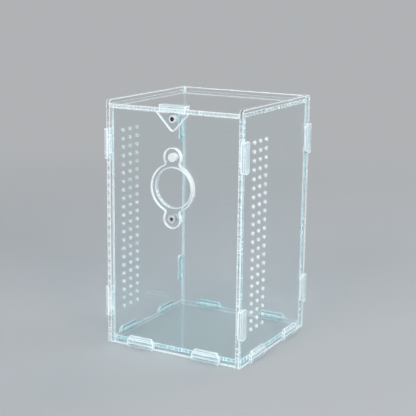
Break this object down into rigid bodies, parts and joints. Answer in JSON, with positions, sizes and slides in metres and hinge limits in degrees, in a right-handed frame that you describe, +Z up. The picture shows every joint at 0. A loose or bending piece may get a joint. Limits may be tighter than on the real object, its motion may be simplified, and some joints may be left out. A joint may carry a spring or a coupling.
{
  "type": "small pet keeper box",
  "caption": "Tall clear keeper box for small invertebrates, with a rear-hinged lid, pull tab, side vent holes, press-fit edge clips and a swinging magnetic cover over the front port.",
  "frame": {"origin": "centre of the footprint, at the underside of the bottom clips' lips, which carry the box", "axes": "+X to the right seen from the front, +Y from front to back, +Z up"},
  "size_m": [0.1248, 0.1216, 0.2008],
  "materials": {
    "clear_sheet": "clear cast sheet, polished faces, bright laser-cut edges",
    "clip_plastic": "translucent milky moulded plastic, semi-gloss",
    "magnet_nickel": "bright nickel plating",
    "screw_steel": "plain steel, machined"
  },
  "bodies": {
    "box": {"base_panel": "clear_sheet", "front_panel": "clear_sheet", "back_panel": "clear_sheet", "left_panel": "clear_sheet", "right_panel": "clear_sheet", "catch_magnet": "magnet_nickel", "port_magnet": "magnet_nickel", "pivot_screw": "screw_steel", "pivot_nut": "screw_steel", "clip_front_left_upper": "clip_plastic", "clip_front_left_lower": "clip_plastic", "clip_front_right_upper": "clip_plastic", "clip_front_right_lower": "clip_plastic", "clip_back_left_upper": "clip_plastic", "clip_back_left_lower": "clip_plastic", "clip_back_right_upper": "clip_plastic", "clip_back_right_lower": "clip_plastic", "clip_bottom_front_left": "clip_plastic", "clip_bottom_front_right": "clip_plastic", "clip_bottom_back_left": "clip_plastic", "clip_bottom_back_right": "clip_plastic", "clip_bottom_left_front": "clip_plastic", "clip_bottom_left_back": "clip_plastic", "clip_bottom_right_front": "clip_plastic", "clip_bottom_right_back": "clip_plastic"},
    "lid": {"lid_panel": "clear_sheet", "lid_tab": "clear_sheet", "lid_clip": "clip_plastic", "tab_magnet": "magnet_nickel"},
    "cover": {"port_cover": "clear_sheet", "cover_magnet": "magnet_nickel"}
  },
  "joints": [
    {"name": "lid_hinge", "type": "hinge", "parent": "box", "child": "lid", "pos_m": [0, 0.0515, 0.1963], "axis": [-1, 0, 0], "range_deg": [0, 98]},
    {"name": "cover_swing", "type": "hinge", "parent": "box", "child": "cover", "pos_m": [0, -0.0588, 0.1123], "axis": [0, -1, 0], "continuous": true}
  ]
}
